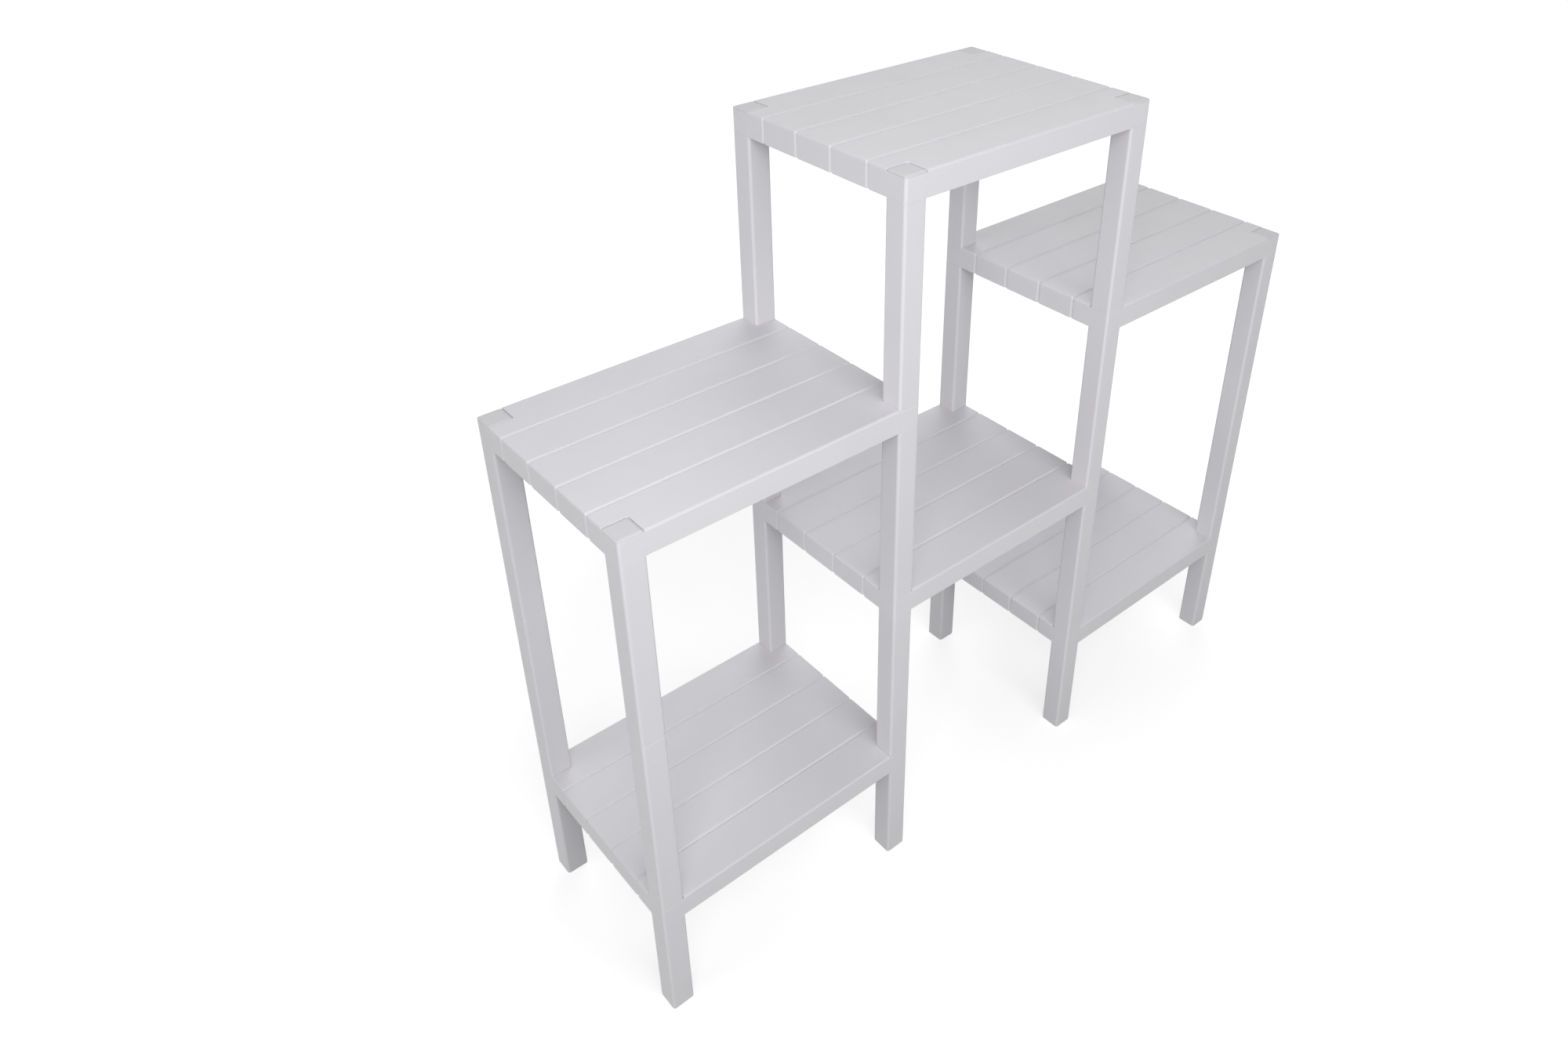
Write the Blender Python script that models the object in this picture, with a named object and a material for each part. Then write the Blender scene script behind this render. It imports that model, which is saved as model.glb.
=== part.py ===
"""Plastic shelving unit: six slatted shelves on eight posts, pushed together by hand.

A post is a stack.  It starts with a foot, then shelf corners and legs follow in
turn, and a cap closes the last corner.  Where a level of an outer post has no
shelf, a coupler of the same height as a shelf corner joins the two legs.

The origin is on the floor under the middle of the unit.  X runs along the
slats, Y runs from the front to the back, and Z is up.
"""
import math

import bmesh
import bpy
from mathutils import Vector

# Shelf moulding
SHELF_LENGTH = 0.400
SHELF_DEPTH = 0.300
SHELF_HEIGHT = 0.031
SHELF_TOP_RADIUS = 0.0030
SLAT_COUNT = 5
GROOVE_DEPTH = 0.0022
GROOVE_FLOOR = 0.0010
RIB_THICKNESS = 0.0020
LONG_RIB_DEPTH = 0.0170
CROSS_RIB_DEPTH = 0.0100
CROSS_RIB_COUNT = 3
RECESS_WALL = 0.0012

# Posts
POST_WIDTH = 0.031
POST_EDGE_RADIUS = 0.0035
LEG_LENGTH = 0.2505
LEG_WALL = 0.0022
FOOT_LENGTH = 0.166
FOOT_BASE = 0.0030
FOOT_EDGE_RADIUS = 0.0008
SHOULDER_THICKNESS = 0.0026

# Necks, plugs and the sockets that they fill
SOCKET_WALL = 0.0024
NECK_WALL = 0.0020
NECK_EDGE_RADIUS = 0.0016
NECK_LEAD = 0.0008
NECK_END_GAP = 0.0040

# Caps
CAP_THICKNESS = 0.0025
CAP_TOP_RADIUS = 0.0022

# Clearances
SEAT_GAP = 0.0003
NECK_GAP = 0.0003
RECESS_GAP = 0.0004

# Roundness of the modelled edges, in flats per quarter turn.  A groove takes one flat
# more over the shelf's rim than the rim has, so that their corners don't fall together.
POST_FLATS = 3
NECK_FLATS = 1
RIM_FLATS = 2
GROOVE_FLATS = 3

# How far a cutting shape reaches past the faces that it opens
OVERCUT = 0.0010

# Sizes that follow from the ones above
SHELF_WALL = GROOVE_DEPTH + GROOVE_FLOOR
RECESS_DEPTH = CAP_THICKNESS + SEAT_GAP
RECESS_WIDTH = POST_WIDTH + RECESS_GAP
CORNER_WIDTH = RECESS_WIDTH + RECESS_WALL
BLOCK_HEIGHT = SHELF_HEIGHT - RECESS_DEPTH
SOCKET_WIDTH = POST_WIDTH - 2 * SOCKET_WALL
NECK_WIDTH = SOCKET_WIDTH - 2 * NECK_GAP
NECK_BORE = NECK_WIDTH - 2 * NECK_WALL
NECK_LENGTH = (BLOCK_HEIGHT - NECK_END_GAP) / 2
LEVEL_PITCH = BLOCK_HEIGHT + LEG_LENGTH + 2 * SEAT_GAP
BAY_PITCH = SHELF_LENGTH - POST_WIDTH

# The shelves of each bay, as a name and a level, from the left bay to the right one
BAYS = (
    ("left", (("low", 1), ("high", 3))),
    ("middle", (("low", 2), ("high", 4))),
    ("right", (("low", 1), ("high", 3))),
)
COLUMNS = ("left", "left_inner", "right_inner", "right")
ROWS = (("front", -1), ("back", 1))

# Plastic colours, as linear red, green and blue
WHITE_SHELF = (0.80, 0.79, 0.81, 1.0)
WHITE_POST = (0.79, 0.78, 0.80, 1.0)
WHITE_CAP = (0.74, 0.74, 0.75, 1.0)
PLASTIC_ROUGHNESS = 0.42


def clear_scene():
    """Remove every object that the file starts with."""
    for thing in list(bpy.data.objects):
        bpy.data.objects.remove(thing, do_unlink=True)


def make_collection(name):
    """Add a collection under the scene's own."""
    collection = bpy.data.collections.new(name)
    bpy.context.scene.collection.children.link(collection)
    return collection


def make_plastic(name, color):
    """Return a plain plastic material."""
    material = bpy.data.materials.new(name)
    material.use_nodes = True
    shader = material.node_tree.nodes["Principled BSDF"]
    shader.inputs["Base Color"].default_value = color
    shader.inputs["Roughness"].default_value = PLASTIC_ROUGHNESS
    shader.inputs["Metallic"].default_value = 0.0
    return material


def make_boxes(name, spans):
    """Return one object that holds a box for each pair of opposite corners."""
    shape = bmesh.new()
    for low, high in spans:
        middle = (Vector(low) + Vector(high)) / 2
        size = Vector(high) - Vector(low)
        corners = bmesh.ops.create_cube(shape, size=1.0)["verts"]
        bmesh.ops.scale(shape, vec=size, verts=corners)
        bmesh.ops.translate(shape, vec=middle, verts=corners)
    mesh = bpy.data.meshes.new(name)
    shape.to_mesh(mesh)
    shape.free()
    thing = bpy.data.objects.new(name, mesh)
    bpy.context.scene.collection.objects.link(thing)
    return thing


def is_upright(edge):
    """Tell whether an edge runs straight up."""
    along = edge.verts[1].co - edge.verts[0].co
    return abs(along.z) > 0.999 * along.length


def rim_test(height):
    """Return a test for edges that lie level at a height."""
    reach = SEAT_GAP / 10

    def on_rim(edge):
        return all(abs(vertex.co.z - height) < reach for vertex in edge.verts)

    return on_rim


def round_edges(thing, chosen, radius, flats):
    """Round the edges for which the test holds."""
    shape = bmesh.new()
    shape.from_mesh(thing.data)
    edges = [edge for edge in shape.edges if chosen(edge)]
    bmesh.ops.bevel(
        shape, geom=edges, offset=radius, offset_type="OFFSET", segments=flats, profile=0.5, affect="EDGES"
    )
    shape.to_mesh(thing.data)
    shape.free()


def make_column(name, width, bottom, top, radius, flats):
    """Return an upright square column on the Z axis, with its four long edges rounded."""
    half = width / 2
    column = make_boxes(name, [((-half, -half, bottom), (half, half, top))])
    round_edges(column, is_upright, radius, flats)
    return column


def combine(thing, tool, operation):
    """Join a tool to a solid or cut it out, keep the result as the solid's mesh, and drop the tool."""
    step = thing.modifiers.new(tool.name, "BOOLEAN")
    step.object = tool
    step.operation = operation
    step.solver = "EXACT"
    graph = bpy.context.evaluated_depsgraph_get()
    before = thing.data
    result = bpy.data.meshes.new_from_object(thing.evaluated_get(graph))
    thing.modifiers.clear()
    thing.data = result
    bpy.data.meshes.remove(before)
    bpy.data.objects.remove(tool, do_unlink=True)


def finish_mesh(thing, name, material):
    """Shade a solid's rounded edges smooth, give it its plastic, and return its mesh."""
    mesh = thing.data
    mesh.name = name
    mesh.materials.clear()
    mesh.materials.append(material)
    mesh.shade_smooth()
    mesh.set_sharp_from_angle(angle=math.radians(35))
    bpy.data.objects.remove(thing, do_unlink=True)
    return mesh


def corner_spans(width, bottom, top, reach):
    """Return a box at each shelf corner, as wide as asked and reaching past the shelf's two outer faces."""
    spans = []
    for low_x, high_x in ((-reach, width), (SHELF_LENGTH - width, SHELF_LENGTH + reach)):
        for low_y, high_y in ((-reach, width), (SHELF_DEPTH - width, SHELF_DEPTH + reach)):
            spans.append(((low_x, low_y, bottom), (high_x, high_y, top)))
    return spans


def shelf_blank():
    """Return the shelf's outer form: a flat block with round upright edges and a round top rim."""
    blank = make_boxes("blank", [((0, 0, 0), (SHELF_LENGTH, SHELF_DEPTH, SHELF_HEIGHT))])
    round_edges(blank, is_upright, POST_EDGE_RADIUS, POST_FLATS)
    round_edges(blank, rim_test(SHELF_HEIGHT), SHELF_TOP_RADIUS, RIM_FLATS)
    return blank


def shelf_cavity():
    """Return the hollow under the shelf, which leaves the four corner blocks standing."""
    low = (SHELF_WALL, SHELF_WALL, -OVERCUT)
    high = (SHELF_LENGTH - SHELF_WALL, SHELF_DEPTH - SHELF_WALL, SHELF_HEIGHT - SHELF_WALL)
    cavity = make_boxes("cavity", [(low, high)])
    blocks = make_boxes("blocks", corner_spans(CORNER_WIDTH, -2 * OVERCUT, SHELF_HEIGHT, OVERCUT))
    combine(cavity, blocks, "DIFFERENCE")
    return cavity


def long_ribs():
    """Return the ribs that run along under the grooves, and tie one slat to the next."""
    bottom = SHELF_HEIGHT - SHELF_WALL - LONG_RIB_DEPTH
    top = SHELF_HEIGHT - SHELF_WALL / 2 - GROOVE_DEPTH / 2
    spans = []
    for number in range(1, SLAT_COUNT):
        middle = SHELF_DEPTH * number / SLAT_COUNT
        low = (SHELF_WALL - GROOVE_FLOOR / 2, middle - RIB_THICKNESS / 2, bottom)
        high = (SHELF_LENGTH - SHELF_WALL + GROOVE_FLOOR / 2, middle + RIB_THICKNESS / 2, top)
        spans.append((low, high))
    return make_boxes("long_ribs", spans)


def cross_ribs():
    """Return the shallower ribs that cross the slats from the front wall to the back wall."""
    bottom = SHELF_HEIGHT - SHELF_WALL - CROSS_RIB_DEPTH
    top = SHELF_HEIGHT - SHELF_WALL + GROOVE_FLOOR / 2
    spans = []
    for number in range(1, CROSS_RIB_COUNT + 1):
        middle = SHELF_LENGTH * number / (CROSS_RIB_COUNT + 1)
        low = (middle - RIB_THICKNESS / 2, SHELF_WALL - GROOVE_FLOOR / 2, bottom)
        high = (middle + RIB_THICKNESS / 2, SHELF_DEPTH - SHELF_WALL + GROOVE_FLOOR / 2, top)
        spans.append((low, high))
    return make_boxes("cross_ribs", spans)


def corner_recesses():
    """Return the four square recesses in the top that take a cap or the end of a leg."""
    reach = 2 * POST_EDGE_RADIUS
    spans = corner_spans(RECESS_WIDTH, BLOCK_HEIGHT, SHELF_HEIGHT + OVERCUT, reach)
    recesses = make_boxes("recesses", spans)
    round_edges(recesses, is_upright, POST_EDGE_RADIUS + RECESS_GAP, POST_FLATS)
    return recesses


def corner_sockets():
    """Return the four square sockets that go right through the corner blocks."""
    spans = []
    for x in (POST_WIDTH / 2, SHELF_LENGTH - POST_WIDTH / 2):
        for y in (POST_WIDTH / 2, SHELF_DEPTH - POST_WIDTH / 2):
            low = (x - SOCKET_WIDTH / 2, y - SOCKET_WIDTH / 2, -OVERCUT)
            high = (x + SOCKET_WIDTH / 2, y + SOCKET_WIDTH / 2, SHELF_HEIGHT)
            spans.append((low, high))
    sockets = make_boxes("sockets", spans)
    round_edges(sockets, is_upright, NECK_EDGE_RADIUS, NECK_FLATS)
    return sockets


def groove_path():
    """Return the points of a groove's line, just outside one end of the shelf, its top and the other end."""
    radius = SHELF_TOP_RADIUS + OVERCUT
    points = [(-OVERCUT, -OVERCUT)]
    for x, quarter in ((SHELF_TOP_RADIUS, 0), (SHELF_LENGTH - SHELF_TOP_RADIUS, 1)):
        for flat in range(GROOVE_FLATS + 1):
            turn = math.pi - (quarter + flat / GROOVE_FLATS) * math.pi / 2
            across = x + radius * math.cos(turn)
            up = SHELF_HEIGHT - SHELF_TOP_RADIUS + radius * math.sin(turn)
            points.append((across, up))
    points.append((SHELF_LENGTH + OVERCUT, -OVERCUT))
    return points


def slat_groove(number):
    """Return the V-shaped cut between two slats, a four-sided bar whose inner half makes the groove."""
    line = bpy.data.curves.new("groove", "CURVE")
    line.dimensions = "3D"
    line.bevel_depth = GROOVE_DEPTH + OVERCUT
    line.bevel_resolution = 0
    line.use_fill_caps = True
    path = groove_path()
    spline = line.splines.new("POLY")
    spline.points.add(len(path) - 1)
    for point, (x, z) in zip(spline.points, path):
        point.co = (x, SHELF_DEPTH * number / SLAT_COUNT, z, 1)
    bar = bpy.data.objects.new("groove", line)
    bpy.context.scene.collection.objects.link(bar)
    graph = bpy.context.evaluated_depsgraph_get()
    mesh = bpy.data.meshes.new_from_object(bar.evaluated_get(graph))
    shape = bmesh.new()
    shape.from_mesh(mesh)
    bmesh.ops.remove_doubles(shape, verts=shape.verts, dist=OVERCUT / 100)
    bmesh.ops.recalc_face_normals(shape, faces=shape.faces)
    shape.to_mesh(mesh)
    shape.free()
    solid = bpy.data.objects.new("groove_solid", mesh)
    solid.matrix_world = bar.matrix_world
    bpy.context.scene.collection.objects.link(solid)
    bpy.data.objects.remove(bar, do_unlink=True)
    return solid


def make_shelf(material):
    """Return the mesh of the slatted shelf, with its lowest front left corner at its origin."""
    shelf = shelf_blank()
    combine(shelf, shelf_cavity(), "DIFFERENCE")
    combine(shelf, long_ribs(), "UNION")
    combine(shelf, cross_ribs(), "UNION")
    combine(shelf, corner_recesses(), "DIFFERENCE")
    combine(shelf, corner_sockets(), "DIFFERENCE")
    for number in range(1, SLAT_COUNT):
        combine(shelf, slat_groove(number), "DIFFERENCE")
    return finish_mesh(shelf, "shelf", material)


def make_neck(bottom, top, tips):
    """Return the solid form of a neck, with a chamfer at each tip that has to find its socket."""
    neck = make_column("neck", NECK_WIDTH, bottom, top, NECK_EDGE_RADIUS, NECK_FLATS)
    for tip in tips:
        round_edges(neck, rim_test(tip), NECK_LEAD, 1)
    return neck


def make_bore(bottom, top):
    """Return the hollow of a neck."""
    return make_column("bore", NECK_BORE, bottom, top, NECK_EDGE_RADIUS, NECK_FLATS)


def make_core(bottom, top):
    """Return the wider hollow inside a leg or foot."""
    half = POST_WIDTH / 2 - LEG_WALL
    return make_boxes("core", [((-half, -half, bottom), (half, half, top))])


def make_leg(material):
    """Return the mesh of a leg: a hollow square tube with a narrower open neck at each end."""
    leg = make_column("leg", POST_WIDTH, 0, LEG_LENGTH, POST_EDGE_RADIUS, POST_FLATS)
    tips = (-NECK_LENGTH, LEG_LENGTH + NECK_LENGTH)
    combine(leg, make_neck(*tips, tips), "UNION")
    combine(leg, make_core(SHOULDER_THICKNESS, LEG_LENGTH - SHOULDER_THICKNESS), "DIFFERENCE")
    combine(leg, make_bore(tips[0] - OVERCUT, tips[1] + OVERCUT), "DIFFERENCE")
    return finish_mesh(leg, "leg", material)


def make_foot(material):
    """Return the mesh of a foot: a hollow square tube with a closed base and an open neck on top."""
    foot = make_column("foot", POST_WIDTH, 0, FOOT_LENGTH, POST_EDGE_RADIUS, POST_FLATS)
    round_edges(foot, rim_test(0), FOOT_EDGE_RADIUS, 1)
    tip = FOOT_LENGTH + NECK_LENGTH
    combine(foot, make_neck(FOOT_LENGTH / 2, tip, (tip,)), "UNION")
    combine(foot, make_core(FOOT_BASE, FOOT_LENGTH - SHOULDER_THICKNESS), "DIFFERENCE")
    combine(foot, make_bore(FOOT_LENGTH / 2, tip + OVERCUT), "DIFFERENCE")
    return finish_mesh(foot, "foot", material)


def make_coupler(material):
    """Return the mesh of a coupler, a square sleeve as tall as a shelf's corner block."""
    coupler = make_column("coupler", POST_WIDTH, 0, BLOCK_HEIGHT, POST_EDGE_RADIUS, POST_FLATS)
    socket = make_column("socket", SOCKET_WIDTH, -OVERCUT, BLOCK_HEIGHT + OVERCUT, NECK_EDGE_RADIUS, NECK_FLATS)
    combine(coupler, socket, "DIFFERENCE")
    return finish_mesh(coupler, "coupler", material)


def make_cap(material):
    """Return the mesh of a cap: a square plate with a hollow plug under it."""
    cap = make_column("cap", POST_WIDTH, 0, CAP_THICKNESS, POST_EDGE_RADIUS, POST_FLATS)
    round_edges(cap, rim_test(CAP_THICKNESS), CAP_TOP_RADIUS, RIM_FLATS)
    combine(cap, make_neck(-NECK_LENGTH, CAP_THICKNESS / 2, (-NECK_LENGTH,)), "UNION")
    combine(cap, make_bore(-NECK_LENGTH - OVERCUT, 0), "DIFFERENCE")
    return finish_mesh(cap, "cap", material)


def place(name, mesh, location, parent, collection):
    """Put a piece with a shared mesh at its place in the unit."""
    piece = bpy.data.objects.new(name, mesh)
    piece.location = location
    piece.parent = parent
    collection.objects.link(piece)


def level_bottom(level):
    """Return the height of a level's lowest face."""
    return FOOT_LENGTH + SEAT_GAP + (level - 1) * LEVEL_PITCH


def shelf_levels(column):
    """Return the levels at which a column of posts carries a shelf corner."""
    levels = set()
    for bay in (column - 1, column):
        if 0 <= bay < len(BAYS):
            levels.update(level for _, level in BAYS[bay][1])
    return levels


def build_posts(meshes, parent, collection):
    """Stack the feet, legs, couplers and caps of every post."""
    first_x = -(len(BAYS) * BAY_PITCH) / 2
    for column, column_name in enumerate(COLUMNS):
        levels = shelf_levels(column)
        for row_name, side in ROWS:
            x = first_x + column * BAY_PITCH
            y = side * (SHELF_DEPTH - POST_WIDTH) / 2
            post = f"{row_name}_{column_name}"
            place(f"{post}_foot", meshes["foot"], (x, y, 0), parent, collection)
            for level in range(1, max(levels)):
                height = level_bottom(level) + BLOCK_HEIGHT + SEAT_GAP
                place(f"{post}_leg_{level}", meshes["leg"], (x, y, height), parent, collection)
                if level not in levels:
                    height = level_bottom(level)
                    place(f"{post}_coupler", meshes["coupler"], (x, y, height), parent, collection)
            height = level_bottom(max(levels)) + BLOCK_HEIGHT + SEAT_GAP
            place(f"{post}_cap", meshes["cap"], (x, y, height), parent, collection)


def build_shelves(mesh, parent, collection):
    """Place the two shelves of every bay."""
    first_x = -(len(BAYS) * BAY_PITCH + POST_WIDTH) / 2
    for number, (bay_name, shelves) in enumerate(BAYS):
        for shelf_name, level in shelves:
            location = (first_x + number * BAY_PITCH, -SHELF_DEPTH / 2, level_bottom(level))
            place(f"{bay_name}_{shelf_name}_shelf", mesh, location, parent, collection)


def main():
    """Model every kind of piece once, then put the unit together."""
    clear_scene()
    collection = make_collection("plastic_shelving_unit")
    unit = bpy.data.objects.new("unit", None)
    collection.objects.link(unit)
    meshes = {
        "foot": make_foot(make_plastic("foot_plastic", WHITE_POST)),
        "leg": make_leg(make_plastic("leg_plastic", WHITE_POST)),
        "coupler": make_coupler(make_plastic("coupler_plastic", WHITE_POST)),
        "cap": make_cap(make_plastic("cap_plastic", WHITE_CAP)),
    }
    build_posts(meshes, unit, collection)
    shelf = make_shelf(make_plastic("shelf_plastic", WHITE_SHELF))
    build_shelves(shelf, unit, collection)


main()
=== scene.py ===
"""Looks of a white plastic shelving unit: six slatted shelves on eight square push-together posts.

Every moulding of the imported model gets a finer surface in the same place.  A shelf is a solid of
grid cells whose skin is bent into round rims, grooves and corner recesses.  The pieces of a post
are rounded squares of changing width, carried up the post's axis.  Lengths are in metres, X runs
along the slats, Y from the front to the back, and Z up.
"""

import logging
import math
from dataclasses import astuple, dataclass, field
from enum import Enum

import bpy
import numpy as np
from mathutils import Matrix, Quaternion, Vector


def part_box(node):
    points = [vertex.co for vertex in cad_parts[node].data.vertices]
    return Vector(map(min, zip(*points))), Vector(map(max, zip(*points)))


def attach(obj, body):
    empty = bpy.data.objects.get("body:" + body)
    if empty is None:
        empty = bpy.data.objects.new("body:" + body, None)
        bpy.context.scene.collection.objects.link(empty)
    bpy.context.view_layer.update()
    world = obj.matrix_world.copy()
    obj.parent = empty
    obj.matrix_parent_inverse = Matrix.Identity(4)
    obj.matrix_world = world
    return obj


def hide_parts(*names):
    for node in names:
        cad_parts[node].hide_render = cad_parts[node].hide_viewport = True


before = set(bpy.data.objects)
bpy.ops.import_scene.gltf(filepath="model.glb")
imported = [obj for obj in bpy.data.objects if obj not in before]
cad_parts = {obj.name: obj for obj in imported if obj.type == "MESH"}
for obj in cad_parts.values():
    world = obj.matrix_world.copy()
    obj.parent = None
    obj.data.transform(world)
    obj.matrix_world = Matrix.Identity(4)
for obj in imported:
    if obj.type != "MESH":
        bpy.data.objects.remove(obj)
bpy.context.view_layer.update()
LOG = logging.getLogger("shelving_unit")

QUARTER_TURN = math.pi / 2
# Faces that meet at less than this are shaded as one smooth surface.
SMOOTH_LIMIT = math.radians(32)
# Grid lines are rounded to a thousandth of a millimetre, so that equal ones fall together.
GRID_DECIMALS = 6
# From this share of an arc's width on, a place counts as past the arc.
ARC_SHARE = 0.999
# The range in which most of a noise's values lie.
NOISE_SPAN = (0.3, 0.7)
SHELF_TONE = (0.746, 0.736, 0.766)
POST_TONE = (0.741, 0.731, 0.761)
CAP_TONE = (0.671, 0.662, 0.689)
# The middle of the unit, at which the panels shine.
UNIT_MIDDLE = Vector((0, 0, 0.5))
# The rays that show the white ground.
SEEN_RAYS = ("Is Camera Ray", "Is Glossy Ray", "Is Transmission Ray")


# Surfaces worked out as arrays


def node_box(node: str) -> tuple[np.ndarray, np.ndarray]:
    """Return a model node's lowest and highest corner.

    Args:
        node: The node's name.

    Returns:
        The two corners, as arrays of three lengths.
    """
    low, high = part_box(node)
    return np.array(low), np.array(high)


def make_piece(name: str, points: np.ndarray, faces: list[np.ndarray]) -> bpy.types.Object:
    """Put a surface into a new object at the origin, smooth where it bends gently.

    Args:
        name: The name of the object and its mesh.
        points: The place of every point, one row each.
        faces: Arrays of point numbers, one row for each face and one column for each corner.

    Returns:
        The new object.
    """
    corners = np.concatenate([group.ravel() for group in faces])
    sizes = np.concatenate([np.full(len(group), group.shape[1]) for group in faces])
    mesh = bpy.data.meshes.new(name)
    mesh.vertices.add(len(points))
    mesh.vertices.foreach_set("co", points.astype(np.float32).ravel())
    mesh.loops.add(len(corners))
    mesh.loops.foreach_set("vertex_index", corners.astype(np.int32))
    mesh.polygons.add(len(sizes))
    mesh.polygons.foreach_set("loop_start", (np.cumsum(sizes) - sizes).astype(np.int32))
    mesh.update(calc_edges=True)
    mesh.shade_smooth()
    mesh.set_sharp_from_angle(angle=SMOOTH_LIMIT)
    piece = bpy.data.objects.new(name, mesh)
    bpy.context.scene.collection.objects.link(piece)
    return piece


def edge_lines(radius: float, steps: int) -> np.ndarray:
    """Return lines across a rounded edge, measured in from the outer face.

    A line lies at the radius times one less the tangent of an even angle between 0 and 45 degrees,
    so that round_off() spreads them evenly along the arc.

    Args:
        radius: The edge's radius.
        steps: How many facets half of the arc has.

    Returns:
        The distances from 0 up to the radius.
    """
    angles = np.linspace(math.pi / 4, 0, steps + 1)
    return radius * (1 - np.tan(angles))


def round_off(across: np.ndarray, up: np.ndarray) -> tuple[np.ndarray, np.ndarray]:
    """Squeeze a square corner into a round one with the same centre.

    A point keeps its direction from the centre, and its distance becomes the larger of its two
    coordinates, so every square about the centre turns into a circle.

    Args:
        across: The first coordinate from the centre.
        up: The second coordinate from the centre.

    Returns:
        The two new coordinates.
    """
    square = np.maximum(np.abs(across), np.abs(up))
    circle = np.hypot(across, up)
    share = np.divide(square, circle, out=np.ones_like(square), where=circle > 0)
    return across * share, up * share


@dataclass
class CellSolid:
    """A solid of filled cells between lines along X, Y and Z.

    Attributes:
        x: The lines along X, from low to high.
        y: The lines along Y.
        z: The lines along Z.
    """

    x: np.ndarray
    y: np.ndarray
    z: np.ndarray

    def middles(self) -> tuple[np.ndarray, np.ndarray, np.ndarray]:
        """Return the middle of every cell along each axis, shaped to combine with one another."""
        x, y, z = ((line[1:] + line[:-1]) / 2 for line in (self.x, self.y, self.z))
        return x[:, None, None], y[None, :, None], z[None, None, :]

    def surface(self, filled: np.ndarray) -> tuple[np.ndarray, np.ndarray]:
        """Return the skin of the filled cells.

        A face lies between two neighbours of which one is filled. The axes are taken in turn, each
        with the next two, so that a face's corners run the same way round as seen from outside.

        Args:
            filled: Whether each cell is filled.

        Returns:
            The points of the skin and its four-sided faces.
        """
        counts = [len(self.x), len(self.y), len(self.z)]
        numbers = np.arange(np.prod(counts)).reshape(counts)
        padded = np.pad(filled, 1)
        quads = []
        for axis in range(3):
            order = [axis, (axis + 1) % 3, (axis + 2) % 3]
            cells = np.transpose(padded, order)[:, 1:-1, 1:-1]
            grid = np.transpose(numbers, order)
            corners = np.stack(
                [grid[:, :-1, :-1], grid[:, 1:, :-1], grid[:, 1:, 1:], grid[:, :-1, 1:]], axis=-1
            )
            quads.append(corners[cells[:-1] & ~cells[1:]])
            quads.append(corners[~cells[:-1] & cells[1:]][:, ::-1])
        used, faces = np.unique(np.concatenate(quads), return_inverse=True)
        places = np.stack(np.meshgrid(self.x, self.y, self.z, indexing="ij"), axis=-1)
        return places.reshape(-1, 3)[used], faces.reshape(-1, 4)


@dataclass(frozen=True)
class Ring:
    """One rounded square of a post's surface: its half width, corner radius and height."""

    half: float
    radius: float
    height: float


class Ends(Enum):
    """How a stack of rings closes."""

    TUBE = "the last ring joins the first"
    TIPS = "a point in the middle closes each end"


@dataclass
class RingStack:
    """A surface of rounded squares, one above another, outside upwards and inside downwards.

    Attributes:
        rings: The rings in order.
        ends: How the stack closes.
        steps: The facets of each corner's arc.
        ease: How far into the flats a line beside each arc keeps them flat.
    """

    rings: list[Ring]
    ends: Ends
    steps: int = 8
    ease: float = 0.0004

    def outline(self) -> tuple[np.ndarray, np.ndarray, np.ndarray]:
        """Describe the points of a ring, quarter by quarter.

        Returns:
            Each point's angle, its corner's direction and its step along the flat.
        """
        arc = np.linspace(0, QUARTER_TURN, self.steps + 1)
        turn = np.concatenate([[0], arc, [QUARTER_TURN]])
        along = np.concatenate([[-self.ease], np.zeros(self.steps + 1), [self.ease]])
        quarter = np.repeat(np.arange(4) * QUARTER_TURN, len(turn))
        return quarter + np.tile(turn, 4), quarter + QUARTER_TURN / 2, np.tile(along, 4)

    def surface(self) -> tuple[np.ndarray, list[np.ndarray]]:
        """Return the points and faces of the stack.

        A ring's point is its corner's centre, half less radius out along both axes, plus the radius
        in the direction of the point's angle, plus its step along the flat.

        Returns:
            The points, and the arrays of faces.
        """
        angle, corner, along = self.outline()
        half, radius, height = np.array([astuple(ring) for ring in self.rings]).T[:, :, None]
        out_x, out_y = np.sign(np.cos(corner)), np.sign(np.sin(corner))
        x = (half - radius) * out_x + radius * np.cos(angle) - along * np.sin(angle)
        y = (half - radius) * out_y + radius * np.sin(angle) + along * np.cos(angle)
        points = np.stack([x, y, np.broadcast_to(height, x.shape)], axis=-1).reshape(-1, 3)
        numbers = np.arange(len(points)).reshape(x.shape)
        if self.ends is Ends.TUBE:
            numbers = np.vstack([numbers, numbers[:1]])
        after = np.roll(numbers, -1, axis=1)
        quads = np.stack([numbers[:-1], after[:-1], after[1:], numbers[1:]], axis=-1)
        quads = quads.reshape(-1, 4)
        if self.ends is Ends.TUBE:
            return points, [quads]
        first = np.full_like(numbers[0], len(points))
        start = np.stack([first, after[0], numbers[0]], axis=-1)
        finish = np.stack([numbers[-1], after[-1], first + 1], axis=-1)
        tips = [[0, 0, self.rings[0].height], [0, 0, self.rings[-1].height]]
        return np.vstack([points, tips]), [quads, start, finish]


# Finishes


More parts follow.
